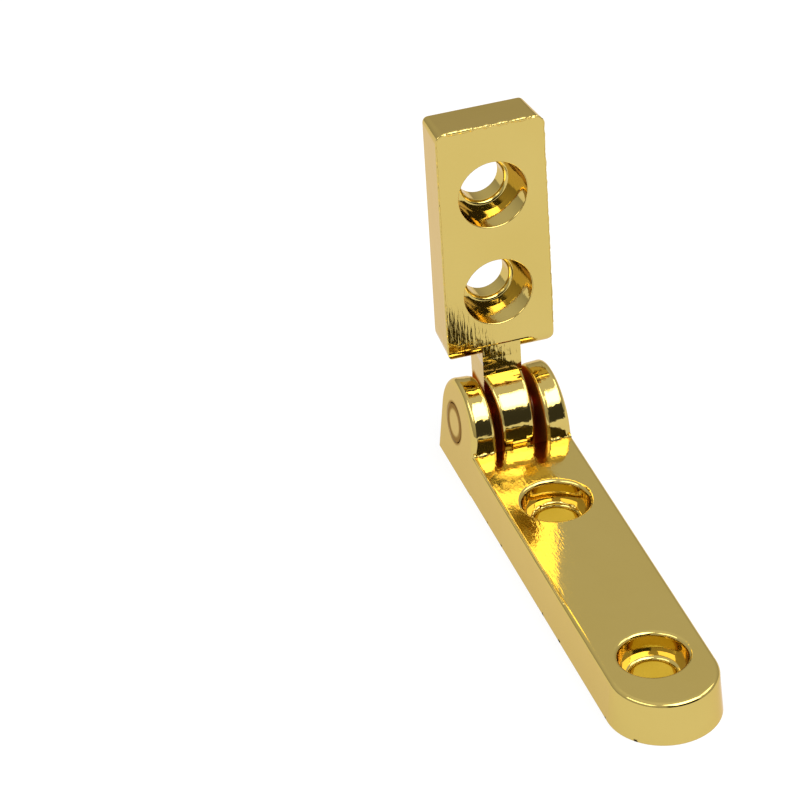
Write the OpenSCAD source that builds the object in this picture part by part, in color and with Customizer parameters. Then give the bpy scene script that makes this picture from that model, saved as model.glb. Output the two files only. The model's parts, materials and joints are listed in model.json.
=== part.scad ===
// Small polished box hinge: a strap-shaped base leaf whose two ears hold a pressed
// pin, and a shorter swing leaf whose knuckle turns on that pin between the ears.
//
// Millimetres, +Z up. The origin is on the underside of the base leaf, halfway between
// its screw holes. +X runs along the base leaf to its round end, and +Y runs along the
// pin. The modules below measure X from the pin axis. The swing leaf is drawn standing
// open against its stop.

/* [Leaves] */
// Width of both leaves where they are widest
leaf_w = 7.1; // [6.6:0.1:9]
// Draft of the cast side walls, in degrees
draft = 4; // [1:0.5:5]
// Gap left between the two leaves when the hinge is shut
closed_gap = 0.15; // [0.05:0.05:0.5]

/* [Base leaf] */
// Thickness of the strap
base_t = 2.9; // [2.4:0.1:4]
// Length from the pin axis to the tip of the round end
base_len = 31.7; // [29:0.1:45]
// Rounding of the strap's top edge
base_edge_r = 0.3; // [0.1:0.05:0.6]
// Bevel along the strap's lower edge
base_bevel = 0.05; // [0.02:0.01:0.1]
// Distance from the pin axis to the first screw hole
base_hole_x = 9.7; // [8.5:0.1:12]
// Distance between the two screw holes
base_hole_pitch = 16.8; // [8:0.1:17.4]

/* [Ears] */
// Distance of the ears' round centre in front of the pin axis
ear_lead = 0.45; // [0:0.05:0.6]
// Rounding of the ears' outer edge
ear_edge_r = 0.4; // [0.1:0.05:0.6]
// Rounding of the ears' inner edge
ear_rim_r = 0.3; // [0.1:0.05:0.4]

/* [Swing leaf] */
// Thickness of the leaf
swing_t = 3.4; // [3:0.1:5]
// Distance from the pin axis to the near end of the leaf
swing_x = 4.25; // [4.25:0.05:7]
// Length of the leaf
swing_len = 16.45; // [14.5:0.05:19]
// Plan rounding of the two corners at the leaf's free end
swing_corner_r = 0.6; // [0.6:0.05:1.4]
// Plan rounding of the two corners next to the knuckle
near_corner_r = 1.1; // [1:0.1:1.2]
// Rounding of the leaf's outer edge
swing_edge_r = 0.3; // [0.1:0.05:0.3]
// Bevel along the leaf's inner edge
swing_bevel = 0.08; // [0.02:0.01:0.12]
// Larger rounding of the inner edge next to the knuckle
near_edge_r = 1.1; // [0.9:0.1:1.1]
// Distance from the leaf's near end to its first screw hole
swing_hole_x = 4.7; // [3.8:0.05:5.3]
// Distance between the leaf's two screw holes
swing_hole_pitch = 6.9; // [5.5:0.1:7.5]
// Step from each face of the leaf down to its neck
neck_step = 0.02; // [0.01:0.01:0.1]

/* [Screw holes] */
// Radius of the counterbores in the base leaf
base_head_r = 2.1; // [1.9:0.05:2.4]
// Depth of the counterbores in the base leaf
base_head_depth = 1.3; // [0.8:0.05:1.5]
// Radius of the screw holes in the base leaf
base_screw_r = 1.35; // [1:0.05:1.4]
// Rounding of the base counterbores' rims
base_rim_r = 0.28; // [0.05:0.01:0.35]
// Radius of the counterbores in the swing leaf
swing_head_r = 2.25; // [2:0.05:2.5]
// Depth of the counterbores in the swing leaf
swing_head_depth = 1.95; // [1.2:0.05:2.1]
// Radius of the screw holes in the swing leaf
swing_screw_r = 1.4; // [1:0.05:1.45]
// Rounding of the swing counterbores' rims
swing_hole_rim_r = 0.08; // [0.05:0.01:0.3]
// Rounded lip where each counterbore drops into its screw hole
lip_r = 0.3; // [0.1:0.05:0.35]
// Rounding of the screw holes' far rims
exit_r = 0.12; // [0.05:0.01:0.2]

/* [Knuckle and pin] */
// Width of the knuckle and neck where they are widest, level with the leaf's inner face
knuckle_w = 2.55; // [2.2:0.05:2.8]
// Rounding of the knuckle's and the neck's rims
knuckle_edge_r = 0.3; // [0.1:0.05:0.4]
// Gap on each side of the knuckle where it is widest
side_gap = 0.4; // [0.1:0.05:0.5]
// Gap between the knuckle's round and the end of the slot
slot_gap = 0.1; // [0.08:0.01:0.2]
// Rounding of the strap's top edge at the end of the slot
slot_edge_r = 0.4; // [0.1:0.05:0.5]
// Gap between the knuckle and the surface the hinge is screwed to
foot_gap = 0.25; // [0.22:0.01:0.5]
// Radius of the pin, pressed into the ears
pin_r = 1.25; // [0.8:0.05:1.5]
// Radial clearance of the knuckle on the pin
pin_gap = 0.05; // [0.02:0.01:0.09]
// Width of the fine ring around each end of the pin
pin_ring = 0.1; // [0.05:0.01:0.15]

/* [Motion] */
// Angle from shut to the open stop
open_angle = 93.5; // [90:0.5:100]
// Gap left at the open stop
stop_gap = 0.03; // [0.02:0.01:0.05]

/* [Hidden] */
$fn = 48;
edge_fn = 16;                   // facets of the small edge rounds
over = 1;                       // how far cutters run past a face
past = 0.01;                    // how far a rim cutter's round stands off the side face

// The knuckle's top is just below the outside of the shut leaf, and its underside
// just clears the surface the hinge is screwed to.
knuckle_r = (base_t + closed_gap + swing_t - neck_step - foot_gap) / 2;
pin_h = knuckle_r + foot_gap;
ear_r = knuckle_r;
slot_w = knuckle_w + 2 * side_gap;
slot_end = knuckle_r + slot_gap;
strap_x = (pin_r + slot_end) / 2;  // the strap takes over from the ears here

// Underside of the swing leaf, measured from the pin axis when it is shut
swing_low = base_t + closed_gap - pin_h;
swing_tip = swing_x + swing_len;
round_x = base_len - leaf_w / 2;
origin_x = base_hole_x + base_hole_pitch / 2;
pin_up = pin_h / cos(draft);    // pin height measured along the drafted ear

// Middle of the ears' round where it meets the side of the slot
ear_in_z = pin_h - (leaf_w - slot_w) / 2 * tan(draft) + pin_h * tan(draft) * tan(draft);

// Angle below the pin, seen in the knuckle's side face, of its widest line
part_a = asin(-swing_low / cos(draft) / knuckle_r);

// The heel that meets the end of the slot when the leaf is fully open
heel_x = slot_end - stop_gap;
heel_r = pin_h - stop_gap;
heel_z = sqrt(heel_r * heel_r - heel_x * heel_x);
heel_top = pin_h - base_t + slot_edge_r + stop_gap;

// Half of a cast section: a drafted side wall, rounded above and bevelled below.
module half_section(half_w, t, r, bevel) {
    y = half_w - (t - r) * tan(draft) - r / cos(draft);
    polygon([[0, 0], [half_w - bevel, 0], [half_w - bevel * tan(draft), bevel],
             [y + r * cos(draft), t - r + r * sin(draft)], [y, t - r], [y, t], [0, t]]);
    translate([y, t - r]) intersection() {
        circle(r, $fn = edge_fn);
        polygon([[0, 0], 2 * r * [cos(draft), sin(draft)], 2 * r * [1, 1], [0, 2 * r]]);
    }
}

module section(half_w, t, r, bevel) {
    half_section(half_w, t, r, bevel);
    mirror([1, 0]) half_section(half_w, t, r, bevel);
}

// A section standing across X and run along it from x0 to x1.
module run_x(x0, x1) {
    translate([x0, 0, 0]) rotate([90, 0, 90]) linear_extrude(x1 - x0) children();
}

// Cutter for a counterbored screw hole, from its far side at 0 to its head side at t.
// The counterbore's wall is drafted, and its flat floor drops into the hole over a lip.
module screw_hole(head_r, head_depth, screw_r, rim_r, t) {
    seat = t - head_depth;
    floor_r = head_r - (head_depth - rim_r) * tan(draft);
    rotate_extrude() difference() {
        polygon([[0, -over], [screw_r + exit_r, -over], [screw_r + exit_r, 0],
                 [screw_r + exit_r, exit_r], [screw_r, exit_r], [screw_r, seat - lip_r],
                 [screw_r + lip_r, seat - lip_r], [screw_r + lip_r, seat], [floor_r, seat],
                 [head_r, t - rim_r], [head_r + rim_r, t - rim_r],
                 [head_r + rim_r, t + over], [0, t + over]]);
        translate([screw_r + exit_r, exit_r]) circle(exit_r, $fn = edge_fn);
        translate([screw_r + lip_r, seat - lip_r]) circle(lip_r, $fn = edge_fn);
        translate([head_r + rim_r, t - rim_r]) circle(rim_r, $fn = edge_fn);
    }
}

// Profile of a cutter that rounds a rim by r: the rim is r_at from the axis, at 0. Its
// round ends in a straight lead, a few degrees off the face that it runs out on.
module rim_cutter(r_at, r, lead = 12) {
    end = r * [cos(lead), sin(lead)];
    translate([r_at - end[0], past - r]) difference() {
        polygon([[0, 0], end, end + 2 * r * [sin(lead), -cos(lead)], [r + over, -2 * r],
                 [r + over, r + over], [0, r + over]]);
        circle(r, $fn = edge_fn);
    }
}

// Strip from which an ear is swept: its outer edge is rounded.
module ear_strip(back) {
    t = (leaf_w - slot_w) / 2 + ear_edge_r;
    difference() {
        translate([-back, -t]) square([back + ear_r, t]);
        translate([ear_r - ear_edge_r, -ear_edge_r]) square(ear_edge_r + over);
    }
    translate([ear_r - ear_edge_r, -ear_edge_r]) circle(ear_edge_r, $fn = edge_fn);
}

// An ear on the +Y side: a round top on straight drafted sides, leaning with the draft.
module ear() {
    difference() {
        translate([ear_lead, leaf_w / 2, 0]) rotate([draft, 0, 0])
            translate([0, 0, pin_up]) rotate([-90, 0, 0]) {
                rotate([0, 0, draft - 180])
                    rotate_extrude(angle = 180 - 2 * draft) ear_strip(0);
                rotate([0, 0, draft - 180]) rotate([90, 0, 0])
                    linear_extrude(pin_up + over) ear_strip(ear_r / 2);
                rotate([0, 0, -draft]) rotate([90, 0, 0]) translate([0, 0, -pin_up - over])
                    linear_extrude(pin_up + over) ear_strip(ear_r / 2);
            }
        ear_rim();
    }
}

// Rounds the inner edge of the +Y ear.
module ear_rim() {
    translate([ear_lead, slot_w / 2, ear_in_z]) mirror([0, 1, 0]) rotate([-90, 0, 0]) {
        rotate([0, 0, draft - 180])
            rotate_extrude(angle = 180 - 2 * draft) rim_cutter(ear_r, ear_rim_r);
        rotate([0, 0, draft - 180]) rotate([90, 0, 0])
            linear_extrude(pin_up + over) rim_cutter(ear_r, ear_rim_r);
        rotate([0, 0, -draft]) rotate([90, 0, 0]) translate([0, 0, -pin_up - over])
            linear_extrude(pin_up + over) rim_cutter(ear_r, ear_rim_r);
    }
}

module both_sides() {
    children();
    mirror([0, 1, 0]) children();
}

// Fine ring cut around the end of the pin, square to the leaning face of the ear.
module pin_ring_cut() {
    translate([0, leaf_w / 2, 0]) rotate([draft, 0, 0]) translate([0, 0, pin_up])
        rotate([-90, 0, 0]) translate([0, 0, -2 * pin_ring])
            cylinder(h = 3 * pin_ring, r1 = pin_r - pin_ring, r2 = pin_r + 2 * pin_ring);
}

// Side view of the slot: right through at the knuckle, and open above the strap, whose
// top edge is rounded there.
module slot_side() {
    difference() {
        polygon([[-base_len, -over], [slot_end, -over], [slot_end, base_t - slot_edge_r],
                 [slot_end + slot_edge_r, base_t - slot_edge_r],
                 [slot_end + slot_edge_r, base_t], [base_len, base_t],
                 [base_len, 3 * pin_h], [-base_len, 3 * pin_h]]);
        translate([slot_end + slot_edge_r, base_t - slot_edge_r])
            circle(slot_edge_r, $fn = edge_fn);
    }
}

module base_leaf() {
    color("goldenrod")
    difference() {
        union() {
            run_x(strap_x, round_x)
                section(leaf_w / 2, base_t, base_edge_r, base_bevel);
            translate([round_x, 0, 0]) rotate([0, 0, -90])
                rotate_extrude(angle = 180)
                    half_section(leaf_w / 2, base_t, base_edge_r, base_bevel);
            both_sides() ear();
        }
        translate([0, slot_w / 2, 0]) rotate([90, 0, 0]) linear_extrude(slot_w) slot_side();
        translate([-base_len, -leaf_w, -2 * over]) cube([2 * base_len, 2 * leaf_w, 2 * over]);
        translate([0, leaf_w, pin_h]) rotate([90, 0, 0]) cylinder(h = 2 * leaf_w, r = pin_r);
        both_sides() pin_ring_cut();
        for (x = [base_hole_x, base_hole_x + base_hole_pitch])
            translate([x, 0, 0])
                screw_hole(base_head_r, base_head_depth, base_screw_r, base_rim_r, base_t);
    }
}

// One end of the shut leaf's cast block: a strip with a rounded corner, r in plan, on
// each side of it.
module leaf_end(r) {
    flat_w = leaf_w / 2 - r;
    translate([0, flat_w, 0]) rotate([90, 0, 0]) linear_extrude(2 * flat_w)
        half_section(r, swing_t, swing_edge_r, swing_bevel);
    for (s = [-1, 1])
        translate([0, s * flat_w, 0]) rotate([0, 0, s * 45 - 45])
            rotate_extrude(angle = 90)
                half_section(r, swing_t, swing_edge_r, swing_bevel);
}

module leaf_block() {
    difference() {
        union() {
            run_x(swing_x + near_corner_r, swing_tip - swing_corner_r)
                section(leaf_w / 2, swing_t, swing_edge_r, swing_bevel);
            translate([swing_tip - swing_corner_r, 0, 0]) leaf_end(swing_corner_r);
            translate([swing_x + near_corner_r, 0, 0]) mirror([1, 0, 0])
                leaf_end(near_corner_r);
        }
        translate([swing_x, leaf_w, 0]) rotate([90, 0, 0]) linear_extrude(2 * leaf_w)
            rotate([0, 0, 180]) rim_cutter(-near_edge_r * tan(draft), near_edge_r, draft);
    }
}

// Side view of the knuckle and the neck that joins it to the leaf.
module knuckle_side() {
    circle(knuckle_r);
    translate([0, swing_low + neck_step])
        square([swing_x + near_edge_r + over, knuckle_r - swing_low - neck_step]);
}

// Cross-section of both, widest level with the leaf's inner face and drafted from there.
module knuckle_section() {
    up = knuckle_w / 2 - (knuckle_r + over - swing_low) * tan(draft);
    down = knuckle_w / 2 - (knuckle_r + over + swing_low) * tan(draft);
    polygon([[knuckle_w / 2, swing_low], [up, knuckle_r + over], [-up, knuckle_r + over],
             [-knuckle_w / 2, swing_low], [-down, -knuckle_r - over],
             [down, -knuckle_r - over]]);
}

// Puts its children on the +Y side face of the knuckle, level with the pin: above the
// leaf's inner face for up = 1, below it for up = -1.
module on_knuckle_side(up) {
    translate([0, knuckle_w / 2, swing_low]) rotate([up * draft, 0, 0])
        translate([0, 0, -swing_low / cos(draft)]) children();
}

// Rounds the rims of the knuckle and of the neck's outer edge on the +Y side.
module knuckle_rim() {
    on_knuckle_side(-1) rotate([-90, 0, 0]) rotate([0, 0, part_a])
        rotate_extrude(angle = 182 - 2 * part_a) rim_cutter(knuckle_r, knuckle_edge_r);
    on_knuckle_side(1) {
        rotate([-90, 0, 0]) rotate([0, 0, -182 - part_a])
            rotate_extrude(angle = 92 + part_a) rim_cutter(knuckle_r, knuckle_edge_r);
        translate([swing_x + over, 0, 0]) rotate([0, -90, 0])
            linear_extrude(swing_x + over) rim_cutter(knuckle_r, knuckle_edge_r);
    }
}

module knuckle() {
    difference() {
        intersection() {
            translate([0, knuckle_w, 0]) rotate([90, 0, 0])
                linear_extrude(2 * knuckle_w) knuckle_side();
            run_x(-leaf_w, leaf_w) knuckle_section();
        }
        both_sides() knuckle_rim();
    }
}

// Heel on the underside of the knuckle, drawn where it meets the end of the slot.
module heel() {
    corner = norm([heel_x, heel_top]);
    top = acos(knuckle_r / corner) - asin(heel_top / corner);
    low = -asin(heel_z / heel_r) - acos(knuckle_r / heel_r);
    w = knuckle_w / 2 - knuckle_r * tan(draft) - 2 * knuckle_edge_r;
    translate([0, w, 0]) rotate([90, 0, 0]) linear_extrude(2 * w)
        polygon([[pin_r + over / 2, 0], knuckle_r * [cos(top), sin(top)],
                 [heel_x, -heel_top], [heel_x, -heel_z], knuckle_r * [cos(low), sin(low)]]);
}

module swing_leaf() {
    color("khaki")
    translate([0, 0, pin_h]) difference() {
        union() {
            rotate([0, -open_angle, 0]) difference() {
                union() {
                    translate([0, 0, swing_low]) leaf_block();
                    knuckle();
                }
                for (x = [swing_hole_x, swing_hole_x + swing_hole_pitch])
                    translate([swing_x + x, 0, swing_low + swing_t]) mirror([0, 0, 1])
                        screw_hole(swing_head_r, swing_head_depth, swing_screw_r,
                                   swing_hole_rim_r, swing_t);
            }
            heel();
        }
        translate([0, leaf_w, 0]) rotate([90, 0, 0])
            cylinder(h = 2 * leaf_w, r = pin_r + pin_gap);
    }
}

module hinge_pin() {
    color("silver")
    intersection() {
        translate([0, leaf_w, pin_h]) rotate([90, 0, 0]) cylinder(h = 2 * leaf_w, r = pin_r);
        run_x(-leaf_w, leaf_w) polygon([
            [leaf_w / 2, 0], [leaf_w / 2 - 2 * pin_h * tan(draft), 2 * pin_h],
            [2 * pin_h * tan(draft) - leaf_w / 2, 2 * pin_h], [-leaf_w / 2, 0]]);
    }
}

translate([-origin_x, 0, 0]) base_leaf();
translate([-origin_x, 0, 0]) swing_leaf();
translate([-origin_x, 0, 0]) hinge_pin();
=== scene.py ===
import json
import math

import bpy
from mathutils import Matrix, Vector, noise


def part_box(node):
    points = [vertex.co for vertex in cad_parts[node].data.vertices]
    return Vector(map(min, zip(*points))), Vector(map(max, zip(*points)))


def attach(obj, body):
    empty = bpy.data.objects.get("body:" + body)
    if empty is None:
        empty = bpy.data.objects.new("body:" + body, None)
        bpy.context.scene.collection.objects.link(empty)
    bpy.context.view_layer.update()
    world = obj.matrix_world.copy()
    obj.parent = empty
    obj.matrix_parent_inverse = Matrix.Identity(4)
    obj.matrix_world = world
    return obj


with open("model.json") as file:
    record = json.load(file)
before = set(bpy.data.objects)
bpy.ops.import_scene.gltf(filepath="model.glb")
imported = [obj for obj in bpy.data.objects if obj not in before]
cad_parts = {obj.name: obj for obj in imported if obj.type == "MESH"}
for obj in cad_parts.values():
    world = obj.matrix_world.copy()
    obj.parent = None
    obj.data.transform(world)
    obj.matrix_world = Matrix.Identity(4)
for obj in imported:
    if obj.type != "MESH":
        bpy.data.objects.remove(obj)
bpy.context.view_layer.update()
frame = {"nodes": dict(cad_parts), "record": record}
scene = bpy.context.scene
scene.view_settings.view_transform = "Standard"
MM = 0.001

# ---------------------------------------------------------------- base leaf
# The long strap that is screwed down, with two ears for the pin. Die-cast zinc, tumbled,
# drawn lengthwise over a buffing wheel and then plated bright gold.


def linear(hex_colour):
    """An sRGB hex colour as linear RGBA."""
    parts = [int(hex_colour[i:i + 2], 16) / 255 for i in (1, 3, 5)]
    return [c / 12.92 if c <= 0.04045 else ((c + 0.055) / 1.055) ** 2.4 for c in parts] + [1.0]


def node(tree, kind, inputs=None, out=0, **settings):
    """Adds a node with its settings, values and links, and returns one of its outputs."""
    new = tree.nodes.new(kind)
    for name, value in settings.items():
        setattr(new, name, value)
    for key, value in (inputs or {}).items():
        if isinstance(value, bpy.types.NodeSocket):
            tree.links.new(value, new.inputs[key])
        else:
            new.inputs[key].default_value = value
    return new.outputs[out] if len(new.outputs) else new


def ramp(tree, value, start, end):
    """0 where value is at start or before it, 1 from end on."""
    return node(tree, "ShaderNodeMapRange", {"Value": value, "From Min": start, "From Max": end},
                interpolation_type="SMOOTHSTEP")


def times(tree, *values):
    """The product of several masks or numbers."""
    result = values[0]
    for value in values[1:]:
        result = node(tree, "ShaderNodeMath", {0: result, 1: value}, operation="MULTIPLY")
    return result


def grain(tree, place, x, y, z, detail=2.0):
    """Noise whose blobs are about x, y and z millimetres long."""
    scaled = node(tree, "ShaderNodeVectorMath", {0: place, 1: [1 / (s * MM) for s in (x, y, z)]},
                  operation="MULTIPLY")
    return node(tree, "ShaderNodeTexNoise", {"Vector": scaled, "Scale": 1.0, "Detail": detail})


GOLD = "#D4BC6E"            # bright gold plate, head on
GOLD_DEEP = "#CFB665"       # where the plate is a little thicker
CLOUD = 5.0                 # size of those clouds, mm
EDGE_TINT = "#F4E4CF"       # gold stays warm even at a glancing angle
SHINE = (0.05, 0.1)         # roughness of the thinner plate, and of the thicker
PEEL = 1.3                  # size of the casting skin's shallow dimples, mm
PEEL_DEPTH = 0.006
PATCH = 2.2                 # the wheel left its streaks in patches of about this size, mm
PATCH_FADE = (0.35, 0.65)   # noise at which such a patch is absent, and full
STREAK_LONG = 1.6           # buffing streaks: length, width and depth, mm; finer ones
STREAK_WIDE = 0.16          # are there on the real plate too, but would not show
STREAK_DEPTH = 0.005
DEEP_STREAK = 0.009         # next to the joint the wheel could not follow, and left them deep
WRINKLE = 0.45              # folds of the casting skin where it chilled first, mm
WRINKLE_DEPTH = 0.018


def gold_plate(name, streak, uneven=None, marks=None, worn=None):
    """Gold plate over buffed zinc: a tinted mirror, pulled into fine streaks along the leaf.

    streak is the size of a buffing streak along x, y and z, in millimetres. uneven makes two
    masks from a tree and a place: where the streaks are deep, and where the skin is wrinkled.
    marks is the size of the deep streaks, if it differs from the others.
    worn gives the height, in metres, that the wheel left where it didn't run true."""
    mat = bpy.data.materials.new(name)
    mat.use_nodes = True
    tree = mat.node_tree
    tree.nodes.clear()
    place = node(tree, "ShaderNodeTexCoord", out=3)
    cloud = grain(tree, place, CLOUD, CLOUD, CLOUD)
    colour = node(tree, "ShaderNodeMix", {0: cloud, 6: linear(GOLD), 7: linear(GOLD_DEEP)}, out=2,
                  data_type="RGBA")
    patches = ramp(tree, grain(tree, place, PATCH, PATCH, PATCH), *PATCH_FADE)
    lines = grain(tree, place, *streak)
    fine = times(tree, lines, patches)
    dimples = grain(tree, place, PEEL, PEEL, PEEL, 0.0)
    skin = node(tree, "ShaderNodeBump", {"Height": dimples, "Distance": PEEL_DEPTH * MM})
    skin = node(tree, "ShaderNodeBump", {"Height": fine, "Distance": STREAK_DEPTH * MM,
                                         "Normal": skin})
    if uneven:
        deep, wrinkled = uneven(tree, place)
        cuts = grain(tree, place, *(marks or streak))
        skin = node(tree, "ShaderNodeBump", {"Height": times(tree, cuts, deep),
                                             "Distance": DEEP_STREAK * MM, "Normal": skin})
        folds = grain(tree, place, WRINKLE, WRINKLE, WRINKLE, 1.0)
        skin = node(tree, "ShaderNodeBump", {"Height": times(tree, folds, wrinkled),
                                             "Distance": WRINKLE_DEPTH * MM, "Normal": skin})
    if worn:
        skin = node(tree, "ShaderNodeBump", {"Height": worn(tree, place), "Distance": 1.0,
                                             "Normal": skin})
    shader = tree.nodes.new("ShaderNodeBsdfPrincipled")
    shader.inputs["Metallic"].default_value = 1.0
    shader.inputs["Specular Tint"].default_value = linear(EDGE_TINT)
    tree.links.new(colour, shader.inputs["Base Color"])
    tree.links.new(skin, shader.inputs["Normal"])
    polish = node(tree, "ShaderNodeMapRange", {"Value": cloud, "To Min": SHINE[0],
                                               "To Max": SHINE[1]})
    tree.links.new(polish, shader.inputs["Roughness"])
    node(tree, "ShaderNodeOutputMaterial", {"Surface": shader.outputs["BSDF"]})
    return mat, place, shader


def tarnish_and_painted_shade(mat, shader, mask, hex_colour, roughness):
    """Lays a darker, duller skin over the plate where mask is 1: real wear and chips, and painted
    shade in the slots.
    """
    tree = mat.node_tree
    colour = linear(hex_colour)
    for name, new in (("Base Color", colour), ("Specular Tint", colour), ("Roughness", roughness)):
        socket = shader.inputs[name]
        old = socket.links[0].from_socket if socket.is_linked else list(socket.default_value)
        if name == "Roughness":
            mixed = node(tree, "ShaderNodeMix", {0: mask, 2: old, 3: new})
        else:
            mixed = node(tree, "ShaderNodeMix", {0: mask, 6: old, 7: new}, out=2, data_type="RGBA")
        tree.links.new(mixed, socket)


joint = frame["record"]["behaviour"]["joints"][0]
PIN = Vector(joint["pos_m"])
pin_low, pin_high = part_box("hinge_pin")
PIN_R = (pin_high.x - pin_low.x) / 2 / MM
HALF_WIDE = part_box("base_leaf")[1].y / MM   # half the hinge's width, mm
STRAP_TOP = 2.9             # the strap's thickness, mm

# A pair of numbers below says where a mark on the plate is absent, and where it is full.
FACING = (0.6, 0.9)         # share of the surface's normal that points the way meant
TOP_STREAKS = (19, 14)      # deep streaks on the strap's top, in mm from the pin
TOP_SHARE = 0.45            # the top is flatter, so its streaks are less deep
TOP_STREAK_LONG = 0.32      # and shorter: the ears kept the wheel from passing over it, mm
EAR_FOLDS = (6.5, 5)        # wrinkles of the ears, in mm from the pin
EAR_WRINKLE = 0.65          # how much of the wrinkles the ears and the knuckle have
SLOT_PAINTED_SHADE = "#B0702C"       # painted shade: dull red-brown where the gold only mirrors itself, between ears and knuckle
SLOT_ROUGH = 0.45
SLOT_WALLS = (1.8 * MM, 1.7 * MM)   # its walls, on either side of the middle
SLOT_DEEP = (4.4, 4)        # and how far it goes, in mm from the pin
WORN = "#AA8E6C"            # brown where the pin was pressed in and the plate is thin
WORN_ROUGH = 0.35
WORN_SHARE = 0.9
WORN_RING = (PIN_R + 0.3, PIN_R + 0.05)     # in mm from the pin's axis
EAR_FACES = ((HALF_WIDE - 0.65) * MM, (HALF_WIDE - 0.55) * MM)
CHIP = "#2B1D10"            # bare, blackened zinc where the plate chipped off the lower edge
CHIP_ROUGH = 0.6
CHIP_SIZE = (0.55, 0.55, 0.4)       # mm
CHIP_FADE = (0.66, 0.7)     # only the highest peaks of the noise are chips
CHIP_HIGH = (0.24 * MM, 0.12 * MM)  # up from the underside
CHIP_FACING = (-0.8, -0.5)  # share of the normal that points up: the underside has none


def from_pin(tree, place):
    """Distance from the pin's axis, in millimetres."""
    flat = node(tree, "ShaderNodeVectorMath", {0: place, 1: PIN}, operation="SUBTRACT")
    flat = node(tree, "ShaderNodeVectorMath", {0: flat, 1: [1 / MM, 0, 1 / MM]}, operation="MULTIPLY")
    return node(tree, "ShaderNodeVectorMath", {0: flat}, out=1, operation="LENGTH")


def off_middle(tree, socket):
    """How far a vector's y is from the middle, on either side."""
    y = node(tree, "ShaderNodeSeparateXYZ", {0: socket}, out=1)
    return node(tree, "ShaderNodeMath", {0: y}, operation="ABSOLUTE")


def facing_sideways(tree):
    """Mask of the surfaces that face along the pin."""
    return ramp(tree, off_middle(tree, node(tree, "ShaderNodeTexCoord", out=1)), *FACING)


def next_to_ears(tree, place):
    """Masks of the strap's top next to the ears, and of the ears, which are faintly wrinkled."""
    away = from_pin(tree, place)
    facing = node(tree, "ShaderNodeTexCoord", out=1)
    up = node(tree, "ShaderNodeSeparateXYZ", {0: facing}, out=2)
    deep = times(tree, ramp(tree, up, *FACING), ramp(tree, away, *TOP_STREAKS), TOP_SHARE)
    not_side = ramp(tree, off_middle(tree, facing), *FACING[::-1])
    return deep, times(tree, not_side, ramp(tree, away, *EAR_FOLDS), EAR_WRINKLE)


base_plate, place, shader = gold_plate("gold_plated_buffed_zinc_base",
                                       (STREAK_LONG, STREAK_WIDE, STREAK_WIDE), next_to_ears,
                                       marks=(TOP_STREAK_LONG, STREAK_WIDE, STREAK_WIDE))
tree = base_plate.node_tree
# Painted shade: the sideways faces in the slots next to the knuckle are darkened to dull red-brown.
slot_painted_shade = times(tree, facing_sideways(tree), ramp(tree, off_middle(tree, place), *SLOT_WALLS),
                ramp(tree, from_pin(tree, place), *SLOT_DEEP))
tarnish_and_painted_shade(base_plate, shader, slot_painted_shade, SLOT_PAINTED_SHADE, SLOT_ROUGH)
ring = times(tree, ramp(tree, from_pin(tree, place), *WORN_RING),
             ramp(tree, off_middle(tree, place), *EAR_FACES), WORN_SHARE)
tarnish_and_painted_shade(base_plate, shader, ring, WORN, WORN_ROUGH)
height = node(tree, "ShaderNodeSeparateXYZ", {0: place}, out=2)
facing = node(tree, "ShaderNodeTexCoord", out=1)
facing_up = node(tree, "ShaderNodeSeparateXYZ", {0: facing}, out=2)
chips = times(tree, ramp(tree, facing_up, *CHIP_FACING), ramp(tree, height, *CHIP_HIGH),
              ramp(tree, grain(tree, place, *CHIP_SIZE, 1.0), *CHIP_FADE))
tarnish_and_painted_shade(base_plate, shader, chips, CHIP, CHIP_ROUGH)
for slot in frame["nodes"]["base_leaf"].material_slots:
    slot.material = base_plate


THINNEST = 0.25             # a bead's radius, as shares of its usual one: where it is thin,
THICKEST = 1.3              # where it is thick, and at its two ends
TAPER = 0.2
RIPPLE = 0.4                # smaller lumps on a bead's large ones: their size and height
ACROSS = Vector((0.3, 0.5, 0.8))    # any way that no bead runs


def bead(name, path, radius, rough, pitch, facets=8):
    """A thin irregular bead along a path; its radius varies by rough, about every pitch mm."""
    rings = []
    for i, point in enumerate(path):
        ahead = (path[min(i + 1, len(path) - 1)] - path[max(i - 1, 0)]).normalized()
        side = ahead.cross(ACROSS).normalized()
        up = ahead.cross(side)
        wobble = noise.noise(point / (pitch * MM))
        wobble += RIPPLE * noise.noise(point / (RIPPLE * pitch * MM))
        r = radius * MM * min(THICKEST, max(THINNEST, 1 + rough * wobble))
        if i in (0, len(path) - 1):
            r *= TAPER
        rings.append([point + r * (side * math.cos(a) + up * math.sin(a))
                      for a in (2 * math.pi * k / facets for k in range(facets))])
    verts = [v for one in rings for v in one]
    faces = [(i * facets + k, i * facets + (k + 1) % facets,
              (i + 1) * facets + (k + 1) % facets, (i + 1) * facets + k)
             for i in range(len(rings) - 1) for k in range(facets)]
    last = (len(rings) - 1) * facets
    faces += [tuple(range(facets))[::-1], tuple(range(last, last + facets))]
    mesh = bpy.data.meshes.new(name)
    mesh.from_pydata(verts, [], faces)
    for face in mesh.polygons:
        face.use_smooth = True
    obj = bpy.data.objects.new(name, mesh)
    scene.collection.objects.link(obj)
    return obj


def spaced(corners, step):
    """Points every step millimetres along a line of corners given in mm."""
    points = []
    for a, b in zip(corners, corners[1:]):
        count = max(1, round((Vector(b) - Vector(a)).length / step))
        points += [Vector(a).lerp(Vector(b), i / count) for i in range(count)]
    return points + [Vector(corners[-1])]


def on_strap(x, y, z):
    """A point of the strap, in mm: x from the pin and z up from the underside."""
    return Vector((PIN.x, 0, 0)) + Vector((x, y, z)) * MM


FOOT_X = 3.52               # flash where the round of an ear meets the strap's top, mm
FOOT_Z = STRAP_TOP + 0.02
FOOT_IN = 1.85              # it runs from near the ear's inner face to near its outer one
FOOT_OUT = HALF_WIDE - 0.27

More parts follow.
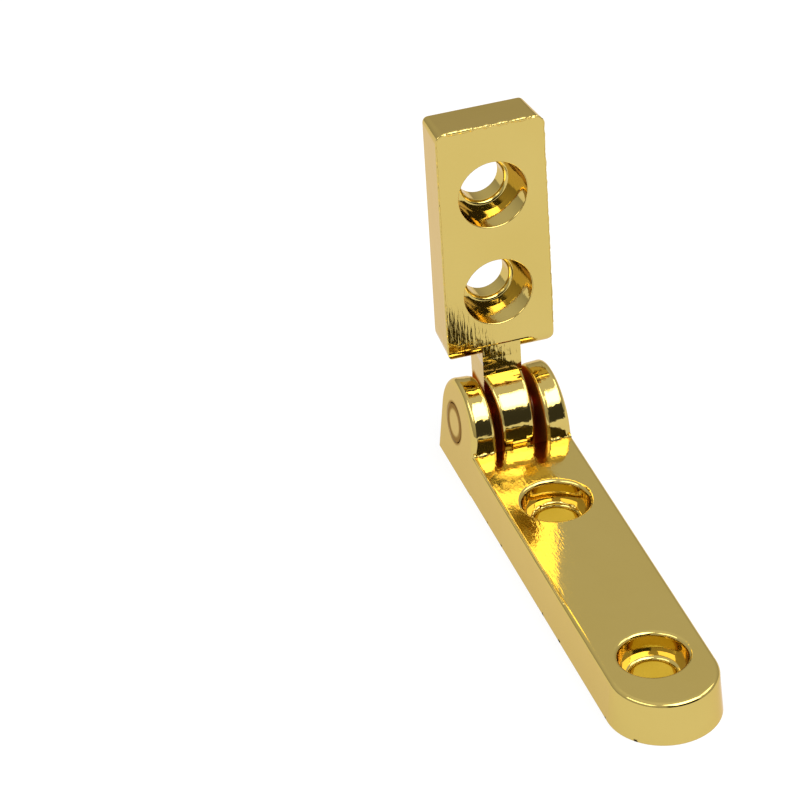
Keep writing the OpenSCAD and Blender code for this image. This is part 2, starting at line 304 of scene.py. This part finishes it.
for side, name in ((-1, "ear_foot_flash_left"), (1, "ear_foot_flash_right")):
    foot = spaced([(FOOT_X, side * FOOT_IN, FOOT_Z), (FOOT_X, side * FOOT_OUT, FOOT_Z)], step=0.05)
    foot_flash = bead(name, [on_strap(*p) for p in foot], radius=0.2, rough=1.1, pitch=0.5)
    foot_flash.data.materials.append(base_plate)
    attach(foot_flash, "base")

BURR_FROM = FOOT_X + 0.2    # a burr, half buffed away, along one edge of the strap's top, mm
BURR_TO = 20.0
BURR_Y = HALF_WIDE - 0.33
BURR_Z = STRAP_TOP - 0.02

edge = spaced([(BURR_FROM, -BURR_Y, BURR_Z), (BURR_TO, -BURR_Y, BURR_Z)], step=0.1)
edge_burr = bead("strap_edge_burr", [on_strap(*p) for p in edge], radius=0.08, rough=0.4, pitch=1.6)
edge_burr.data.materials.append(base_plate)
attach(edge_burr, "base")

holes = frame["record"]["mounts"][0]["dims"]
NEAR_HOLE = -holes["spacing_x_mm"] / 2
RIM_R = holes["hole_r_mm"] + 0.12   # a ragged drilling burr round the near screw hole, at
RIM_Z = STRAP_TOP - 1.26    # the floor of its counterbore
RIM_HALF = 75               # degrees that it reaches each way from the side next to the ears

turns = [math.radians(180 + 2 * i) for i in range(-RIM_HALF // 2, RIM_HALF // 2 + 1)]
rim = [Vector((NEAR_HOLE + RIM_R * math.cos(t), RIM_R * math.sin(t), RIM_Z)) * MM for t in turns]
rim_burr = bead("near_hole_burr", rim, radius=0.12, rough=1.2, pitch=0.4)
rim_burr.data.materials.append(base_plate)
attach(rim_burr, "base")

# ---------------------------------------------------------------- swing leaf
# The short block leaf with its neck and knuckle, cast and plated like the base leaf. A
# little flash from the mould's parting line is left around its inner edge.

OPEN = math.radians(joint["range_deg"][1])
NEAR_END = 4.25             # from the pin to the near end of the leaf's block, mm
OUT_OF_TRUE = -0.055        # the wheel took more off one side of the leaf: slope across it
FALL = 0.068                # and it ran off the near end, which falls away to this slope
FALL_LONG = 1.9             # over this length, mm

# Pairs as above, in mm along the leaf from the pin.
BLOCK = (NEAR_END - 0.5, NEAR_END)
LEAF_STREAKS = (NEAR_END + 6.5, NEAR_END + 2)
LEAF_FOLDS = (NEAR_END + 2.2, NEAR_END + 1.2)
CLEVIS = (2.3, 1.7)         # the part of the knuckle's sides that stands between the ears
KNUCKLE = (3.3, 3)          # this one in mm from the pin's axis


def along_leaf(tree, place):
    """Distance from the pin along the leaf, in millimetres."""
    along = Vector((math.cos(OPEN), 0, math.sin(OPEN)))
    out = node(tree, "ShaderNodeVectorMath", {0: place, 1: PIN}, operation="SUBTRACT")
    return node(tree, "ShaderNodeVectorMath", {0: out, 1: along / MM}, out=1,
                operation="DOT_PRODUCT")


def next_to_joint(tree, place):
    """Masks of the leaf's near end: deep streaks, and wrinkles on its rounded edge."""
    out = along_leaf(tree, place)
    on_block = ramp(tree, out, *BLOCK)
    deep = times(tree, on_block, ramp(tree, out, *LEAF_STREAKS))
    folded = node(tree, "ShaderNodeMix", {0: on_block, 2: EAR_WRINKLE, 3: 1.0})
    return deep, times(tree, folded, ramp(tree, out, *LEAF_FOLDS))


def worn_leaf(tree, place):
    """Height that the wheel left on the leaf: lower to one side, and towards its near end."""
    out = along_leaf(tree, place)
    across = node(tree, "ShaderNodeSeparateXYZ", {0: place}, out=1)
    on_block = ramp(tree, out, *BLOCK)
    fallen = node(tree, "ShaderNodeMapRange", {"Value": out, "From Min": NEAR_END + FALL_LONG,
                                               "From Max": NEAR_END})
    drop = times(tree, fallen, fallen, -FALL * FALL_LONG / 2 * MM)
    slope = times(tree, across, on_block, OUT_OF_TRUE)
    return node(tree, "ShaderNodeMath", {0: slope, 1: drop}, operation="ADD")


swing_plate, place, shader = gold_plate("gold_plated_buffed_zinc_swing",
                                        (STREAK_WIDE, STREAK_WIDE, STREAK_LONG),
                                        next_to_joint, worn=worn_leaf)
tree = swing_plate.node_tree
# Painted shade: the knuckle's sides between the ears are darkened to dull red-brown.
clevis_painted_shade = times(tree, facing_sideways(tree), ramp(tree, from_pin(tree, place), *KNUCKLE),
                  ramp(tree, along_leaf(tree, place), *CLEVIS))
tarnish_and_painted_shade(swing_plate, shader, clevis_painted_shade, SLOT_PAINTED_SHADE, SLOT_ROUGH)
for slot in frame["nodes"]["swing_leaf"].material_slots:
    slot.material = swing_plate


def on_leaf(x, y, z):
    """A point of the shut leaf, measured from the pin in mm, moved to the open leaf."""
    return PIN + Vector((x * math.cos(OPEN) - z * math.sin(OPEN), y,
                         x * math.sin(OPEN) + z * math.cos(OPEN))) * MM


SHUT_GAP = 0.15             # between the strap and the shut leaf, mm
LEAF_HALF = HALF_WIDE - 0.04    # the line that the flash runs along, on the leaf's inner edge:
LEAF_TIP = 20.67            # half its width, and its far and near end, from the pin
LEAF_NEAR = 5.9
LEAF_CORNER = 0.58          # radius of its corners
FLASH_LOW = STRAP_TOP + SHUT_GAP + 0.03 - PIN.z / MM    # its height from the pin when shut
END_GAP = 0.1               # between the flash of the end and the round of a corner


def leaf_corner(side):
    """Points around a corner of the leaf's free end."""
    centre = (LEAF_TIP - LEAF_CORNER, side * (LEAF_HALF - LEAF_CORNER))
    turns = [math.radians(15 * i) for i in range(7)]
    return [(centre[0] + LEAF_CORNER * math.sin(t), centre[1] + side * LEAF_CORNER * math.cos(t),
             FLASH_LOW) for t in turns]


end_half = LEAF_HALF - LEAF_CORNER - END_GAP
end_line = spaced([(LEAF_TIP, -end_half, FLASH_LOW), (LEAF_TIP, end_half, FLASH_LOW)], step=0.05)
end_flash = bead("leaf_end_flash", [on_leaf(*p) for p in end_line],
                 radius=0.12, rough=1.2, pitch=0.28)
for side, name in ((-1, "leaf_flash_left"), (1, "leaf_flash_right")):
    line = spaced([(LEAF_NEAR, side * LEAF_HALF, FLASH_LOW)] + leaf_corner(side), step=0.06)
    side_flash = bead(name, [on_leaf(*p) for p in line], radius=0.055, rough=0.9, pitch=0.4)
    side_flash.data.materials.append(swing_plate)
    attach(side_flash, "swing")
end_flash.data.materials.append(swing_plate)
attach(end_flash, "swing")

# ---------------------------------------------------------------- hinge pin
# A plain steel pin, pressed through both ears before plating. Its ends are staked, so
# the plate on them is thin, dull and brownish.

PIN_GRAIN = (0.3, 0.3, 0.3)         # the end of the pin isn't buffed any one way, mm
STAKED = (PIN_R - 0.5, PIN_R - 0.2)     # the staking punch's ring, in mm from the axis

pin_plate, place, shader = gold_plate("gold_flash_on_staked_steel", PIN_GRAIN)
tree = pin_plate.node_tree
staked = times(tree, ramp(tree, from_pin(tree, place), *STAKED), WORN_SHARE)
tarnish_and_painted_shade(pin_plate, shader, staked, WORN, WORN_ROUGH)
for slot in frame["nodes"]["hinge_pin"].material_slots:
    slot.material = pin_plate

# ---------------------------------------------------------------- studio
# White paper under and around the hinge, a soft box high in front of it with a brighter
# middle, and a black gap below that, which draws the dark bands on the curves.

PAPER_W = 4.0               # m
PAPER_SHADED = "#6E6E6E"    # the part of its white that a shadow can take away
PAPER_GLOW = 0.86           # the part that it can't, and what of it the gold mirrors
PAPER_MIRRORED = 0.8
PAPER_BOUNCE = "#E0E0E0"    # the paper as it lights the hinge from below
PAPER_GILT = "#FDE96C"      # in the strap's holes it only gets light off the gold
GILT_EDGE = ((holes["hole_r_mm"] + 0.3) * MM, (holes["hole_r_mm"] + 0.1) * MM)


def paper_floor():
    mesh = bpy.data.meshes.new("paper_floor")
    h = PAPER_W / 2
    mesh.from_pydata([(-h, -h, 0), (h, -h, 0), (h, h, 0), (-h, h, 0)], [], [(0, 1, 2, 3)])
    obj = bpy.data.objects.new("paper_floor", mesh)
    scene.collection.objects.link(obj)
    mat = bpy.data.materials.new("white_paper")
    mat.use_nodes = True
    tree = mat.node_tree
    tree.nodes.clear()
    path = tree.nodes.new("ShaderNodeLightPath")
    seen = node(tree, "ShaderNodeMath", {0: path.outputs["Is Camera Ray"],
                                         1: path.outputs["Is Glossy Ray"]}, operation="MAXIMUM")
    seen = node(tree, "ShaderNodeMath", {0: seen, 1: path.outputs["Is Transmission Ray"]},
                operation="MAXIMUM")
    paper = node(tree, "ShaderNodeBsdfDiffuse", {"Color": linear(PAPER_SHADED)})
    strength = node(tree, "ShaderNodeMix", {0: path.outputs["Is Camera Ray"],
                                            2: PAPER_MIRRORED, 3: PAPER_GLOW})
    place = node(tree, "ShaderNodeTexCoord", out=3)
    off = node(tree, "ShaderNodeVectorMath", {0: place}, operation="ABSOLUTE")
    off = node(tree, "ShaderNodeVectorMath", {0: off, 1: [-NEAR_HOLE * MM, 0, 0]},
               operation="SUBTRACT")
    off = node(tree, "ShaderNodeVectorMath", {0: off}, out=1, operation="LENGTH")
    in_hole = ramp(tree, off, *GILT_EDGE)
    light = node(tree, "ShaderNodeMix", {0: in_hole, 6: linear("#FFFFFF"), 7: linear(PAPER_GILT)},
                 out=2, data_type="RGBA")
    glow = node(tree, "ShaderNodeEmission", {"Color": light, "Strength": strength})
    lit = node(tree, "ShaderNodeAddShader", {0: paper, 1: glow})
    plain = node(tree, "ShaderNodeBsdfDiffuse", {"Color": linear(PAPER_BOUNCE)})
    both = node(tree, "ShaderNodeMixShader", {0: seen, 1: plain, 2: lit})
    node(tree, "ShaderNodeOutputMaterial", {"Surface": both})
    mesh.materials.append(mat)


paper_floor()

ROOM_LOW = 0.42             # radiance of the room's walls at the floor, and of its ceiling
ROOM_HIGH = 0.82
FAR = 0.965                 # the backdrop, as white as the far end of the paper
GAP = 0.05                  # radiance of the black gap
GAP_WAY = math.radians(108)     # where its middle is: 0 is the -Y side, 90 degrees the +X side
GAP_HALF = math.radians(32)     # how far it reaches each way from there
GAP_TOP = math.radians(39)      # and up from the floor
GAP_SOFT = 0.06             # half the width of its soft edges at the sides and at the top,
GAP_TOP_SOFT = 0.03         # in radians


def studio_world():
    world = bpy.data.worlds.new("studio")
    scene.world = world
    world.use_nodes = True
    tree = world.node_tree
    tree.nodes.clear()
    path = tree.nodes.new("ShaderNodeLightPath")
    way = node(tree, "ShaderNodeTexCoord", out=0)
    level = node(tree, "ShaderNodeVectorMath", {0: way, 1: [1, 1, 0]}, operation="MULTIPLY")
    level = node(tree, "ShaderNodeVectorMath", {0: level}, operation="NORMALIZE")
    middle = [math.sin(GAP_WAY), -math.cos(GAP_WAY), 0]
    ahead = node(tree, "ShaderNodeVectorMath", {0: level, 1: middle}, out=1,
                 operation="DOT_PRODUCT")
    in_gap = ramp(tree, ahead, math.cos(GAP_HALF + GAP_SOFT), math.cos(GAP_HALF - GAP_SOFT))
    height = node(tree, "ShaderNodeSeparateXYZ", {0: way}, out=2)
    below = ramp(tree, height, math.sin(GAP_TOP + GAP_TOP_SOFT),
                 math.sin(GAP_TOP - GAP_TOP_SOFT))
    room = node(tree, "ShaderNodeMapRange", {"Value": height, "To Min": ROOM_LOW,
                                             "To Max": ROOM_HIGH})
    grey = node(tree, "ShaderNodeMix", {0: times(tree, in_gap, below), 2: room, 3: GAP})
    shown = node(tree, "ShaderNodeMix", {0: path.outputs["Is Camera Ray"], 2: grey, 3: FAR})
    back = node(tree, "ShaderNodeBackground", {"Color": linear("#FFFFFF"), "Strength": shown})
    node(tree, "ShaderNodeOutputWorld", {"Surface": back})


studio_world()


def soft_box(name, azimuth, elevation, distance, width, height, radiance):
    """An area lamp that faces the hinge; azimuth 0 is on the -Y side and 90 on the +X side."""
    a, e = math.radians(azimuth), math.radians(elevation)
    lamp = bpy.data.lights.new(name, "AREA")
    lamp.shape = "RECTANGLE"
    lamp.size, lamp.size_y = width, height
    lamp.energy = radiance * math.pi * width * height
    obj = bpy.data.objects.new(name, lamp)
    scene.collection.objects.link(obj)
    way = Vector((math.sin(a) * math.cos(e), -math.cos(a) * math.cos(e), math.sin(e)))
    obj.location = way * distance
    obj.rotation_euler = way.to_track_quat("Z", "Y").to_euler()


# Azimuth and elevation in degrees, distance, width and height in metres, and radiance.
soft_box("front_soft_box", 122, 56, 0.6, 0.56, 0.38, 3.8)
soft_box("front_soft_box_middle", 124, 58, 0.62, 0.42, 0.26, 1.8)
soft_box("left_soft_box", 18, 46, 0.7, 0.6, 0.22, 2.6)
soft_box("right_soft_box", 182, 46, 0.7, 0.4, 0.22, 2.6)

# The camera stands about a third of a metre off, in front of the hinge and above it, with a
# long lens, and leans a little to one side.
CAMERA_AT = Vector((212.675, -77.058, 170.691)) * MM
AIM_AT = Vector((-26.47, -4.291, 0)) * MM
ROLL = math.radians(2.66)
camera_data = bpy.data.cameras.new("camera")
camera_data.lens = 208.85
camera_data.sensor_width = 36
camera_data.clip_start = 0.01
camera = bpy.data.objects.new("camera", camera_data)
scene.collection.objects.link(camera)
camera.location = CAMERA_AT
facing = (CAMERA_AT - AIM_AT).to_track_quat("Z", "Y").to_matrix()
camera.rotation_euler = (facing @ Matrix.Rotation(-ROLL, 3, "Z")).to_euler()
scene.camera = camera
